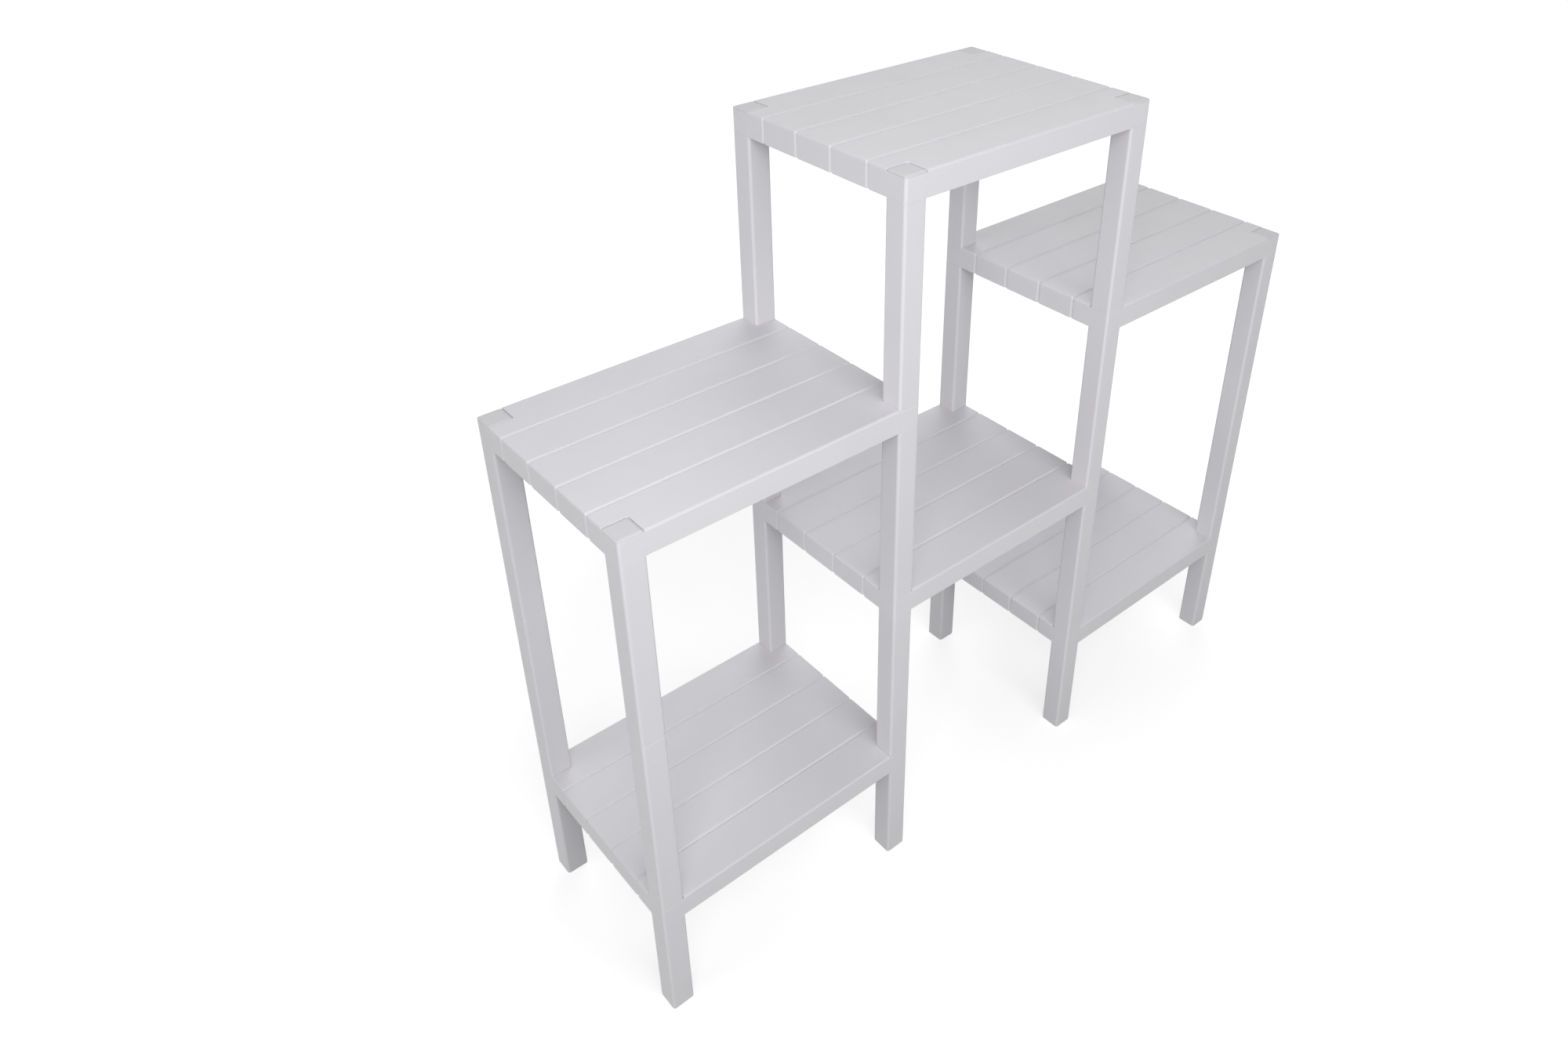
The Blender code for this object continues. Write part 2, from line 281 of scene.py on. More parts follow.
@dataclass(frozen=True)
class Noise:
    """A noise on Object coordinates.

    Attributes:
        size: The size of a feature.
        detail: How many finer layers it has.
    """

    size: float
    detail: float

    def value(self, tree: bpy.types.NodeTree) -> bpy.types.NodeSocket:
        """Add the noise to a material.

        Args:
            tree: The material's node tree.

        Returns:
            The noise's value.
        """
        place = tree.nodes.new("ShaderNodeTexCoord")
        noise = tree.nodes.new("ShaderNodeTexNoise")
        noise.inputs["Scale"].default_value = 1 / self.size
        noise.inputs["Detail"].default_value = self.detail
        tree.links.new(place.outputs["Object"], noise.inputs["Vector"])
        return noise.outputs["Fac"]

    def spread(self, tree: bpy.types.NodeTree, low: float, high: float) -> bpy.types.NodeSocket:
        """Add the noise with its middle range stretched over a range of its own.

        Args:
            tree: The material's node tree.
            low: What the low end becomes.
            high: What the high end becomes.

        Returns:
            The stretched value.
        """
        value = self.value(tree)
        span = tree.nodes.new("ShaderNodeMapRange")
        span.inputs["From Min"].default_value, span.inputs["From Max"].default_value = NOISE_SPAN
        span.inputs["To Min"].default_value = low
        span.inputs["To Max"].default_value = high
        tree.links.new(value, span.inputs["Value"])
        return span.outputs["Result"]


@dataclass(frozen=True)
class MouldedPlastic:
    """Smooth semi-matt moulded plastic.

    Attributes:
        slot: The material's name.
        tone: Its colour, as linear red, green and blue.
        bending: How strongly it bends light.
        shine: How strongly it mirrors, where 0.5 is plain plastic.
        roughness: The middle of its roughness.
        unevenness: How far the roughness strays from its middle.
        uneven: Where the roughness strays.
        mottle: How far the colour strays, as a share.
        mottled: Where the colour strays.
        waves: The faint waves that cooling leaves.
        wave_height: How high those waves stand.
        grain: The fine surface grain.
        grain_height: How high the grain stands.
    """

    slot: str
    tone: tuple[float, float, float]
    bending: float = 1.49
    shine: float = 0.35
    roughness: float = 0.50
    unevenness: float = 0.035
    uneven: Noise = Noise(0.018, 4.0)
    mottle: float = 0.012
    mottled: Noise = Noise(0.12, 3.0)
    waves: Noise = Noise(0.045, 1.0)
    wave_height: float = 0.00010
    grain: Noise = Noise(0.0006, 2.0)
    grain_height: float = 0.000010

    def relief(self, tree: bpy.types.NodeTree) -> bpy.types.NodeSocket:
        """Add the fine grain on top of the faint waves.

        Args:
            tree: The material's node tree.

        Returns:
            The bent normal.
        """
        normal = None
        for noise, height in ((self.waves, self.wave_height), (self.grain, self.grain_height)):
            bump = tree.nodes.new("ShaderNodeBump")
            bump.inputs["Strength"].default_value = 1.0
            bump.inputs["Distance"].default_value = height
            tree.links.new(noise.value(tree), bump.inputs["Height"])
            if normal is not None:
                tree.links.new(normal, bump.inputs["Normal"])
            normal = bump.outputs["Normal"]
        return normal

    def material(self) -> bpy.types.Material:
        """Make the finish as a material.

        Returns:
            The new material.
        """
        material = bpy.data.materials.new(self.slot)
        material.use_nodes = True
        tree = material.node_tree
        shader = tree.nodes["Principled BSDF"]
        shader.inputs["IOR"].default_value = self.bending
        shader.inputs["Specular IOR Level"].default_value = self.shine
        blend = tree.nodes.new("ShaderNodeMix")
        blend.data_type = "RGBA"
        for end, share in (("A", 1 - self.mottle), ("B", 1 + self.mottle)):
            blend.inputs[end].default_value = (*(part * share for part in self.tone), 1)
        tree.links.new(self.mottled.spread(tree, 0, 1), blend.inputs["Factor"])
        tree.links.new(blend.outputs["Result"], shader.inputs["Base Color"])
        low, high = self.roughness - self.unevenness, self.roughness + self.unevenness
        tree.links.new(self.uneven.spread(tree, low, high), shader.inputs["Roughness"])
        tree.links.new(self.relief(tree), shader.inputs["Normal"])
        return material


def dress(
    piece: bpy.types.Object, node: str, material: bpy.types.Material
) -> None:
    """Give a piece its finish and let it stand for its node.

    Args:
        piece: The new piece.
        node: The node that it stands for.
        material: The finish as a material.
    """
    piece.data.materials.append(material)
    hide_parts(node)
    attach(piece, "root")
    LOG.info("%s: %d faces for %s", piece.name, len(piece.data.polygons), node)


# The shelves


@dataclass(frozen=True)
class Side:
    """How far places lie from a side, and the direction in which that distance grows.

    Attributes:
        away: The distances.
        toward_u: The direction's part in from the nearer end.
        toward_v: The direction's part in from the nearer long side.
    """

    away: np.ndarray
    toward_u: np.ndarray
    toward_v: np.ndarray


@dataclass(frozen=True)
class Places:
    """Places in a shelf, folded so that its four quarters are alike.

    Attributes:
        u: The distances in from the nearer end.
        v: The distances in from the nearer long side.
        z: The heights.
    """

    u: np.ndarray
    v: np.ndarray
    z: np.ndarray

    def round_edge(self, side: Side, radius: float, centre: float, near: np.ndarray) -> "Places":
        """Round the edge between a side and a level face.

        The edge's centre line lies a radius from the side, and round_off() works about it.

        Args:
            side: The places' distances from the side.
            radius: The edge's radius.
            centre: The height of the edge's centre line.
            near: Which places belong to the edge.

        Returns:
            The bent places.
        """
        new_away, new_up = round_off(side.away - radius, self.z - centre)
        shift = np.where(near, new_away + radius - side.away, 0)
        z = np.where(near, centre + new_up, self.z)
        return Places(self.u + side.toward_u * shift, self.v + side.toward_v * shift, z)


def past_centre(past_u: np.ndarray, past_v: np.ndarray) -> tuple[np.ndarray, ...]:
    """Return how far places lie past a round corner's centre, and in which direction.

    The distance is the root of the two coordinates' squares added up, where a coordinate that
    isn't past the centre counts as 0.

    Args:
        past_u: How far the first coordinate is past the centre.
        past_v: How far the second coordinate is past the centre.

    Returns:
        The distance, and the two parts of its direction.
    """
    past_u = np.clip(past_u, 0, None)
    past_v = np.clip(past_v, 0, None)
    reach = np.hypot(past_u, past_v)
    scale = np.where(reach > 0, reach, 1)
    return reach, past_u / scale, past_v / scale


@dataclass
class SlattedShelf:
    """The shelf moulding: slats on top, ribs below, and a socket block at each corner.

    The shelf is the same from left to right and from front to back, so its skin is bent in folded
    places: how far a point lies in from the nearer end, in from the nearer long side, and up.

    Attributes:
        finish: The plastic.
        post_width: The width of the posts that it sits on.
        post_radius: The radius of the posts' upright edges.
        slats: How many slats the top has.
        wall: The thickness of the top and the sides.
        rim_radius: The radius of the top rim.
        rim_steps: The facets of half an arc of a rim, an upright edge or a recess's corner.
        lip_size: The radius of the small edges, at the foot of the sides and round the recesses.
        lip_steps: The facets of half a small edge's arc.
        seat_edge: The radius of a block's top edge, under the leg or cap that sits on it.
        seat_steps: The facets of half that edge's arc.
        groove_reach: Half the width of a groove.
        groove_drop: The depth of a groove.
        groove_edge: The radius of the small edges along a groove.
        groove_steps: The facets of such an edge.
        recess_depth: The depth of the corner recesses.
        recess_gap: How much wider a recess is than a post.
        block_wall: How much wider a corner block is than its recess.
        socket_wall: How much the socket is narrower than the post, on each side.
        rib_thickness: The thickness of the ribs.
        long_rib_depth: The depth of the ribs along the slats.
        cross_rib_depth: The depth of the ribs across the slats.
        cross_ribs: How many ribs cross the slats.
        mark_width: Half the width of the faint upright line where a corner block ends.
        mark_depth: The depth of that line.
        mark_lines: The places of the grid lines across it, as shares of half its width.
        size: The outer length, depth and height.
        forms: The points and faces that all shelves share.
        material: The plastic as a material.
    """

    finish: MouldedPlastic
    post_width: float
    post_radius: float = 0.0035
    slats: int = 5
    wall: float = 0.0032
    rim_radius: float = 0.0028
    rim_steps: int = 4
    lip_size: float = 0.0003
    lip_steps: int = 2
    seat_edge: float = 0.0009
    seat_steps: int = 3
    groove_reach: float = 0.0026
    groove_drop: float = 0.0022
    groove_edge: float = 0.0005
    groove_steps: int = 5
    recess_depth: float = 0.0028
    recess_gap: float = 0.00015
    block_wall: float = 0.0012
    socket_wall: float = 0.0024
    rib_thickness: float = 0.0020
    long_rib_depth: float = 0.0170
    cross_rib_depth: float = 0.0100
    cross_ribs: int = 3
    mark_width: float = 0.0005
    mark_depth: float = 0.00012
    mark_lines: tuple[float, ...] = (-1, -0.6, -0.25, 0.25, 0.6, 1)
    size: np.ndarray = field(init=False)
    forms: tuple[np.ndarray, np.ndarray] = field(init=False)
    material: bpy.types.Material = field(init=False)

    def prepare(self, node: str) -> None:
        """Take the outer size from a shelf's node, and work out what all shelves share.

        Args:
            node: The name of any shelf's node.
        """
        low, high = node_box(node)
        self.size = high - low
        self.material = self.finish.material()
        cells = CellSolid(*self.lines())
        points, faces = cells.surface(self.filled(*cells.middles()))
        self.forms = (self.bent(points), faces)

    @property
    def recess_width(self) -> float:
        """Return the width of a corner recess."""
        return self.post_width + self.recess_gap

    @property
    def recess_radius(self) -> float:
        """Return the radius of a recess's inner corner."""
        return self.post_radius + self.recess_gap

    @property
    def recess_corner(self) -> float:
        """Return how far in the centre of a recess's inner corner lies, along both axes."""
        return self.recess_width - self.recess_radius

    @property
    def groove_turn(self) -> float:
        """Return how steeply a groove's walls slope, as an angle."""
        return math.atan2(self.groove_drop, self.groove_reach)

    @property
    def groove_brink(self) -> float:
        """Return how far from a groove's middle its small edges begin."""
        return self.groove_reach + self.groove_edge * math.tan(self.groove_turn / 2)

    @property
    def block_height(self) -> float:
        """Return the height of a corner block."""
        return self.size[2] - self.recess_depth

    @property
    def slack(self) -> float:
        """Return how near a place lies to a line or level that it counts as being on."""
        return self.lip_size / 4

    def side_lines(self) -> np.ndarray:
        """Work out the lines near an outer side, measured in from it.

        Returns:
            The lines, in no order.
        """
        return np.concatenate([
            edge_lines(self.rim_radius, self.rim_steps),
            edge_lines(self.post_radius, self.rim_steps),
            edge_lines(self.lip_size, self.lip_steps),
            edge_lines(self.seat_edge, self.seat_steps),
            [self.wall, self.post_radius + self.lip_size],
            [self.socket_wall, self.post_width - self.socket_wall],
            self.recess_width - edge_lines(self.recess_radius, self.rim_steps),
            [self.recess_corner - self.lip_size],
            self.recess_width + edge_lines(self.lip_size, self.lip_steps),
            self.recess_width + self.mark_width * np.array(self.mark_lines),
            [self.recess_width + 2 * self.lip_size, self.recess_width + self.block_wall],
        ])

    def rib_lines(self, middles: np.ndarray) -> np.ndarray:
        """Return the two sides of each rib, from the ribs' middles."""
        return np.concatenate([middles - self.rib_thickness / 2, middles + self.rib_thickness / 2])

    def groove_places(self) -> np.ndarray:
        """Return where the grooves lie across the shelf."""
        return self.size[1] * np.arange(1, self.slats) / self.slats

    def cross_places(self) -> np.ndarray:
        """Return where the cross ribs lie along the shelf."""
        return self.size[0] * np.arange(1, self.cross_ribs + 1) / (self.cross_ribs + 1)

    def lines(self) -> tuple[np.ndarray, ...]:
        """Work out the grid lines along each axis.

        A groove's lines lie at its middle, at even angles along the small edges on both sides, and
        one further out on each side keeps the slat flat.

        Returns:
            The sorted lines along X, Y and Z.
        """
        length, depth, height = self.size
        side = self.side_lines()
        turns = np.linspace(0, self.groove_turn, self.groove_steps + 1)
        edge = self.groove_brink - self.groove_edge * np.sin(turns)
        half = np.concatenate([[0], edge, [self.groove_brink + self.lip_size]])
        grooves = np.add.outer(self.groove_places(), np.concatenate([-half, half])).ravel()
        below_seat = self.block_height - self.seat_edge - self.lip_size
        x = np.concatenate([side, length - side, self.rib_lines(self.cross_places())])
        y = np.concatenate([side, depth - side, self.rib_lines(self.groove_places()), grooves])
        z = np.concatenate([
            edge_lines(self.lip_size, self.lip_steps),
            height - self.wall - np.array([self.long_rib_depth, self.cross_rib_depth, 0]),
            height - edge_lines(self.rim_radius, self.rim_steps),
            height - edge_lines(self.lip_size, self.lip_steps),
            self.block_height - edge_lines(self.seat_edge, self.seat_steps),
            [2 * self.lip_size, below_seat, self.block_height],
        ])
        return tuple(np.unique(np.round(line, GRID_DECIMALS)) for line in (x, y, z))

    def in_ribs(self, places: np.ndarray, middles: np.ndarray) -> np.ndarray:
        """Tell which places lie within the thickness of the ribs with the given middles."""
        away = np.abs(places - middles[:, None, None, None]).min(axis=0)
        return away < self.rib_thickness / 2

    def filled(self, x: np.ndarray, y: np.ndarray, z: np.ndarray) -> np.ndarray:
        """Tell which cells hold plastic.

        The shelf is full, less the hollow between its walls, less the corner recesses and sockets.
        Ribs and corner blocks stand in the hollow.

        Args:
            x: The middles of the cells along X.
            y: The middles of the cells along Y.
            z: The middles of the cells along Z.

        Returns:
            Whether each cell is filled.
        """
        length, depth, height = self.size
        u = np.minimum(x, length - x)
        v = np.minimum(y, depth - y)
        in_from_corner = np.maximum(u, v)
        ceiling = height - self.wall
        hollow = (np.minimum(u, v) > self.wall) & (z < ceiling)
        along = self.in_ribs(y, self.groove_places()) & (z > ceiling - self.long_rib_depth)
        cross = self.in_ribs(x, self.cross_places()) & (z > ceiling - self.cross_rib_depth)
        block = (in_from_corner < self.recess_width + self.block_wall) & (z < self.block_height)
        recess = (in_from_corner < self.recess_width) & (z > self.block_height)
        middle = self.post_width / 2
        from_middle = np.maximum(np.abs(u - middle), np.abs(v - middle))
        socket = from_middle < middle - self.socket_wall
        return (~hollow | along | cross | block) & ~recess & ~socket

    def bent(self, points: np.ndarray) -> np.ndarray:
        """Bend the skin of cells into the moulding's round forms.

        Args:
            points: The places on the grid, from the shelf's lowest front left corner.

        Returns:
            The bent places.
        """
        length, depth, _ = self.size
        x, y, z = points.T
        right, back = x > length / 2, y > depth / 2
        at = Places(np.where(right, length - x, x), np.where(back, depth - y, y), z)
        for bend in (
            self.round_recess,
            self.round_recess_edge,
            self.round_recess_mouth,
            self.round_upright,
            self.round_foot,
            self.round_block,
            self.mark,
        ):
            at = bend(at)
        at = self.round_rim(at, self.groove_depth(y))
        x, y = np.where(right, length - at.u, at.u), np.where(back, depth - at.v, at.v)
        return np.stack([x, y, at.z], axis=-1)

    def groove_depth(self, y: np.ndarray) -> np.ndarray:
        """Return how deep the grooves lie below the slats.

        Each wall slopes evenly from the groove's middle, and a small arc leads it into the slat. On
        the arc the depth is the radius less the root of its square less the square of how far the
        place lies inside the brink.

        Args:
            y: The places across the shelf.

        Returns:
            The depths, 0 on a slat's flat.
        """
        away = np.abs(y[:, None] - self.groove_places()).min(axis=1)
        wall = self.groove_drop * (1 - away / self.groove_reach)
        full = self.groove_edge * math.sin(self.groove_turn)
        into = np.clip(self.groove_brink - away, 0, full)
        arc = self.groove_edge - np.sqrt(self.groove_edge**2 - into**2)
        return np.where(into < full * ARC_SHARE, arc, wall)

    def recess_side(self, at: Places) -> Side:
        """Return the distances outwards from the walls of a recess, whose inner corner is round."""
        reach, *toward = past_centre(at.u - self.recess_corner, at.v - self.recess_corner)
        return Side(reach - self.recess_radius, *toward)

    def outer_side(self, at: Places) -> Side:
        """Return the distances in from the outer sides, whose corners are round."""
        reach, *toward = past_centre(self.post_radius - at.u, self.post_radius - at.v)
        return Side(self.post_radius - reach, *toward)

    def round_recess(self, at: Places) -> Places:
        """Round the inner upright corner of each recess, fading back to square lines beyond it.

        Args:
            at: The places.

        Returns:
            The bent places.
        """
        corner = self.recess_corner
        past_u, past_v = at.u - corner, at.v - corner
        round_u, round_v = round_off(past_u, past_v)
        edge = self.recess_radius + 2 * self.lip_size
        fade = np.clip((np.maximum(past_u, past_v) - edge) / edge, 0, 1)
        near = (past_u > 0) & (past_v > 0) & (at.z > self.block_height - self.slack)
        u = np.where(near, corner + round_u + (past_u - round_u) * fade, at.u)
        v = np.where(near, corner + round_v + (past_v - round_v) * fade, at.v)
        return Places(u, v, at.z)

    def round_recess_edge(self, at: Places) -> Places:
        """Round the small edge between a recess's walls and the shelf's top.

        Args:
            at: The places.

        Returns:
            The bent places.
        """
        side = self.recess_side(at)
        centre = self.size[2] - self.lip_size
        near = (side.away > -self.slack) & (side.away < self.lip_size) & (at.z > centre)
        return at.round_edge(side, self.lip_size, centre, near)

    def round_recess_mouth(self, at: Places) -> Places:
        """Round the small upright edges where a recess's walls end in the shelf's outer faces.

        Args:
            at: The places.

        Returns:
            The bent places.
        """
        above = at.z > self.block_height + self.slack
        u, v = self.round_mouth(at.u, at.v, above)
        v, u = self.round_mouth(v, u, above)
        return Places(u, v, at.z)

    def round_mouth(
        self, beside: np.ndarray, inward: np.ndarray, above: np.ndarray
    ) -> tuple[np.ndarray, np.ndarray]:
        """Round the small upright edge where a recess's wall ends in one of the outer faces.

        Args:
            beside: The distances along the outer face.
            inward: The distances in from it.
            above: Which places lie above the recess's floor.

        Returns:
            The two distances, bent.
        """
        size = self.lip_size
        past = beside - self.recess_width - size
        new_past, new_inward = round_off(past, inward - size)
        near = above & (np.abs(past + size / 2) < size / 2 + self.slack) & (inward < size)
        new_beside = np.where(near, beside - past + new_past, beside)
        return new_beside, np.where(near, size + new_inward, inward)

    def round_upright(self, at: Places) -> Places:
        """Round the outer upright edges of the corner blocks.

        Args:
            at: The places.

        Returns:
            The bent places.
        """
        near = np.maximum(at.u, at.v) < self.post_radius
        new_u, new_v = round_off(at.u - self.post_radius, at.v - self.post_radius)
        u = np.where(near, self.post_radius + new_u, at.u)
        v = np.where(near, self.post_radius + new_v, at.v)
        return Places(u, v, at.z)

    def round_foot(self, at: Places) -> Places:
        """Round the small lower edge of the sides and the block corners.

        Args:
            at: The places.

        Returns:
            The bent places.
        """
        side = self.outer_side(at)
        near = (side.away < self.lip_size) & (at.z < self.lip_size)
        return at.round_edge(side, self.lip_size, self.lip_size, near)

    def round_block(self, at: Places) -> Places:
        """Round the edge between a recess's floor and the outer sides of its block.

        Args:
            at: The places.

        Returns:
            The bent places.
        """
        side = self.outer_side(at)
        centre = self.block_height - self.seat_edge
        inside = np.maximum(at.u, at.v) < self.recess_width - self.slack
        level = (at.z > centre) & (at.z < self.block_height + self.slack)
        near = inside & level & (side.away < self.seat_edge)
        return at.round_edge(side, self.seat_edge, centre, near)

    def mark(self, at: Places) -> Places:
        """Press the faint upright line into the sides where a corner block ends.

        The line's depth falls off as the square of one less the square of the share of its half
        width, and dies away through the wall.

        Args:
            at: The places.

        Returns:
            The bent places.
        """
        below = at.z < self.block_height + self.slack
        depths = []
        for beside, inward in ((at.v, at.u), (at.u, at.v)):
            share = np.clip(np.abs(beside - self.recess_width) / self.mark_width, 0, 1)
            through = np.clip(1 - inward / self.wall, 0, 1)
            depths.append(np.where(below, self.mark_depth * (1 - share**2) ** 2 * through, 0))
        return Places(at.u + depths[0], at.v + depths[1], at.z)

    def round_rim(self, at: Places, groove: np.ndarray) -> Places:
        """Round the top rim and let the grooves run over it and down both ends.

        The rim's centre line lies a radius in from the end and down from the top. A point near the
        skin moves towards that line by the groove's depth as a share of the radius.

        Args:
            at: The places.
            groove: The depth of the grooves at each place.

        Returns:
            The bent places.
        """
        radius = self.rim_radius
        rise = np.clip(at.z - (self.size[2] - radius), 0, None)
        past_v = np.clip(at.v - radius, None, 0)
        side_v, side_up = round_off(past_v, rise)
        past_u = np.clip(at.u - radius, None, 0)
        end_u, end_up = round_off(past_u, side_up)
        keep = 1 - groove / radius
        return Places(
            at.u - past_u + end_u * keep, at.v - past_v + side_v, at.z - rise + end_up * keep
        )

    def build(self, node: str) -> bpy.types.Object:
        """Make the shelf that stands for a node.

        Args:
            node: The shelf's node.

        Returns:
            The new piece.
        """
        low, _ = node_box(node)
        points, faces = self.forms
        piece = make_piece("slatted_" + node, points + low, [faces])
        dress(piece, node, self.material)
        return piece


# The posts


@dataclass
class PostKit:
    """The pieces of the posts: feet, legs, couplers and caps.

    Attributes:
        body: The plastic of the feet, legs and couplers.
        top: The plastic of the caps.
        half: Half the width of a post.
        radius: The radius of a post's upright edges.
        lip_size: The radius of the small edges where two pieces meet.
        lip_steps: The facets of a round edge between a level face and the sides.
        cap_lip: The radius of a cap's lower edge, and how near rings lie to the flat's rim.
        seat_edge: The radius of a coupler's top edge, under the leg that sits on it.
        base_size: The radius of the edge that a foot stands on.
        bevel_reach: How wide the bevel round a cap's flat top is.
        bevel_drop: How far the bevel drops.
        bevel_radius: The radius of the edge between the bevel and a cap's side.
        bevel_steps: The facets of that edge.
        seat: How far a leg, foot or cap reaches towards the piece it meets, across the seat's gap.
        leg_wall: The wall of a leg or foot.
        base_thickness: The thickness of a foot's closed base.
        shoulder: The thickness of the step between a leg and its neck.
        neck_gap: How much narrower a neck is than its socket, on each side.
        socket_wall: How much a socket is narrower than the post, on each side.
        neck_wall: The wall of a neck.
        neck_radius: The radius of a neck's upright edges.
        lead: The size of the slanted edge at a neck's tip.
        neck_length: How far a neck reaches into its socket.
        body_material: The plastic of the feet, legs and couplers as a material.
        top_material: The plastic of the caps as a material.
    """

    body: MouldedPlastic
    top: MouldedPlastic
    half: float
    radius: float = 0.0035
    lip_size: float = 0.0003
    lip_steps: int = 4
    cap_lip: float = 0.00015
    seat_edge: float = 0.0009
    base_size: float = 0.0008
    bevel_reach: float = 0.0030
    bevel_drop: float = 0.0015
    bevel_radius: float = 0.0008
    bevel_steps: int = 5
    seat: float = 0.00025
    leg_wall: float = 0.0022
    base_thickness: float = 0.0030
    shoulder: float = 0.0026
    neck_gap: float = 0.0003
    socket_wall: float = 0.0024
    neck_wall: float = 0.0020
    neck_radius: float = 0.0016
    lead: float = 0.0008
    neck_length: float = 0.0121
    body_material: bpy.types.Material = field(init=False)
    top_material: bpy.types.Material = field(init=False)

    def __post_init__(self) -> None:
        """Make the two materials."""
        self.body_material = self.body.material()
        self.top_material = self.top.material()

    @property
    def socket(self) -> float:
        """Return half the width of a socket."""
        return self.half - self.socket_wall

    @property
    def neck(self) -> float:
        """Return half the width of a neck."""
        return self.socket - self.neck_gap

    @property
    def bore(self) -> float:
        """Return half the width of a neck's hollow."""
        return self.neck - self.neck_wall

    @property
    def core(self) -> float:
        """Return half the width of a leg's hollow."""
        return self.half - self.leg_wall

    def inner(self, half: float, height: float) -> Ring:
        """Return a ring of a neck or a hollow."""
        return Ring(half, self.neck_radius, height)

    def neck_side(self, base: float, rising: bool) -> list[Ring]:
        """Work out the outside of a neck, whose last ring lies inside the slanted edge at its tip.

        Args:
            base: The height of the level face that the neck grows from.
            rising: Whether the neck stands on the face, or hangs from it.

        Returns:
            The rings, from the lowest to the highest.
        """
        way = 1 if rising else -1
        tip = base + way * self.neck_length
        rings = [self.inner(self.neck, height) for height in (base, tip - way * self.lead)]
        rings.append(Ring(self.neck - self.lead, self.neck_radius - self.lead / 2, tip))
        return rings if rising else rings[::-1]

    def lip(self, height: float, size: float, rising: bool) -> list[Ring]:
        """Work out a round edge between a level face and the upright sides.

        At an angle t the ring is narrower than the sides by the size times one less the sine of t,
        and lies the size times one less the cosine of t from the level face. One ring more, further
        along the sides, keeps them flat.

        Args:
            height: The height of the level face.
            size: The radius of the edge.
            rising: Whether the sides rise from the face, or the face lies on top of them.

        Returns:
            The rings, from the lowest to the highest.
        """
        way = 1 if rising else -1
        rings = []
        for turn in np.linspace(0, QUARTER_TURN, self.lip_steps + 1):
            inset = size * (1 - math.sin(turn))
            rise = size * (1 - math.cos(turn))
            rings.append(Ring(self.half - inset, self.radius - inset, height + way * rise))
        rings.append(Ring(self.half, self.radius, height + way * 2 * size))
        return rings if rising else rings[::-1]

    def leg(self, low: float, high: float) -> RingStack:
        """Work out a leg with a neck beyond each end.

        Args:
            low: The height of the level it stands on.
            high: The height of the level it carries.

        Returns:
            Its surface.
        """
        return RingStack(
            [
                *self.neck_side(low, rising=False),
                *self.lip(low - self.seat, self.lip_size, rising=True),
                *self.lip(high + self.seat, self.lip_size, rising=False),
                *self.neck_side(high, rising=True),
                self.inner(self.bore, high + self.neck_length),
                self.inner(self.bore, high - self.shoulder),
                self.inner(self.core, high - self.shoulder),
                self.inner(self.core, low + self.shoulder),
                self.inner(self.bore, low + self.shoulder),
                self.inner(self.bore, low - self.neck_length),
            ],
            Ends.TUBE,
        )

    def foot(self, low: float, high: float) -> RingStack:
        """Work out a foot with a closed base and a neck on top.

        Args:
            low: The height of the ground.
            high: The height of the level it carries.

        Returns:
            Its surface.
        """
        return RingStack(
            [
                *self.lip(low, self.base_size, rising=True),
                *self.lip(high + self.seat, self.lip_size, rising=False),
                *self.neck_side(high, rising=True),
                self.inner(self.bore, high + self.neck_length),
                self.inner(self.bore, high - self.shoulder),
                self.inner(self.core, high - self.shoulder),
                self.inner(self.core, low + self.base_thickness),
            ],
            Ends.TIPS,
        )

    def coupler(self, low: float, high: float) -> RingStack:
        """Work out a coupler, an open square sleeve.

        Args:
            low: The height of its lower end.
            high: The height of its upper end.

        Returns:
            Its surface.
        """
        return RingStack(
            [
                self.inner(self.socket, low),
                *self.lip(low, self.lip_size, rising=True),
                *self.lip(high, self.seat_edge, rising=False),
                self.inner(self.socket, high),
            ],
            Ends.TUBE,
        )

    def bevel(self, high: float) -> list[Ring]:
        """Work out the top of a cap: a small round edge, a bevel and the rim of the flat.

        The round edge turns from the side to the bevel. Its centre lies its radius in from the
        side, and below the line where side and bevel would meet by the radius times the tangent of
        half the turn.

        Args:
            high: The height of the flat.

        Returns:
            The rings, from the lowest to the highest.
        """
        turn = math.atan2(self.bevel_reach, self.bevel_drop)
        middle = high - self.bevel_drop - self.bevel_radius * math.tan(turn / 2)
        size = self.bevel_radius
        rows = [
            (size * (1 - math.cos(angle)), middle + size * math.sin(angle))
            for angle in np.linspace(0, turn, self.bevel_steps + 1)
        ]
        near = self.cap_lip
        rows.append((self.bevel_reach - near, high - near * self.bevel_drop / self.bevel_reach))
        rows.append((self.bevel_reach, high))
        rows.append((self.bevel_reach + near, high))
        return [Ring(self.half - inset, self.radius - inset, height) for inset, height in rows]

    def cap(self, low: float, high: float) -> RingStack:
        """Work out a cap: a plate with a hollow plug under it.

        Args:
            low: The height of the plate's lower face.
            high: The height of the plate's flat top.

        Returns:
            Its surface.
        """
        return RingStack(
            [
                self.inner(self.bore, low),
                self.inner(self.bore, low - self.neck_length),
                *self.neck_side(low, rising=False),
                *self.lip(low - self.seat, self.cap_lip, rising=True),
                *self.bevel(high),
            ],
            Ends.TIPS,
        )

    def build(self, node: str, form: RingStack, middle: np.ndarray) -> bpy.types.Object:
        """Make the piece that stands for a node.

        Args:
            node: The piece's node.
            form: Its surface about the post's axis.
            middle: Where the post's axis stands.

        Returns:
            The new piece.
        """
        points, faces = form.surface()
        piece = make_piece("smooth_" + node, points + np.array([*middle, 0]), faces)
        if node.endswith("_cap"):
            dress(piece, node, self.top_material)
        else:
            dress(piece, node, self.body_material)
        return piece

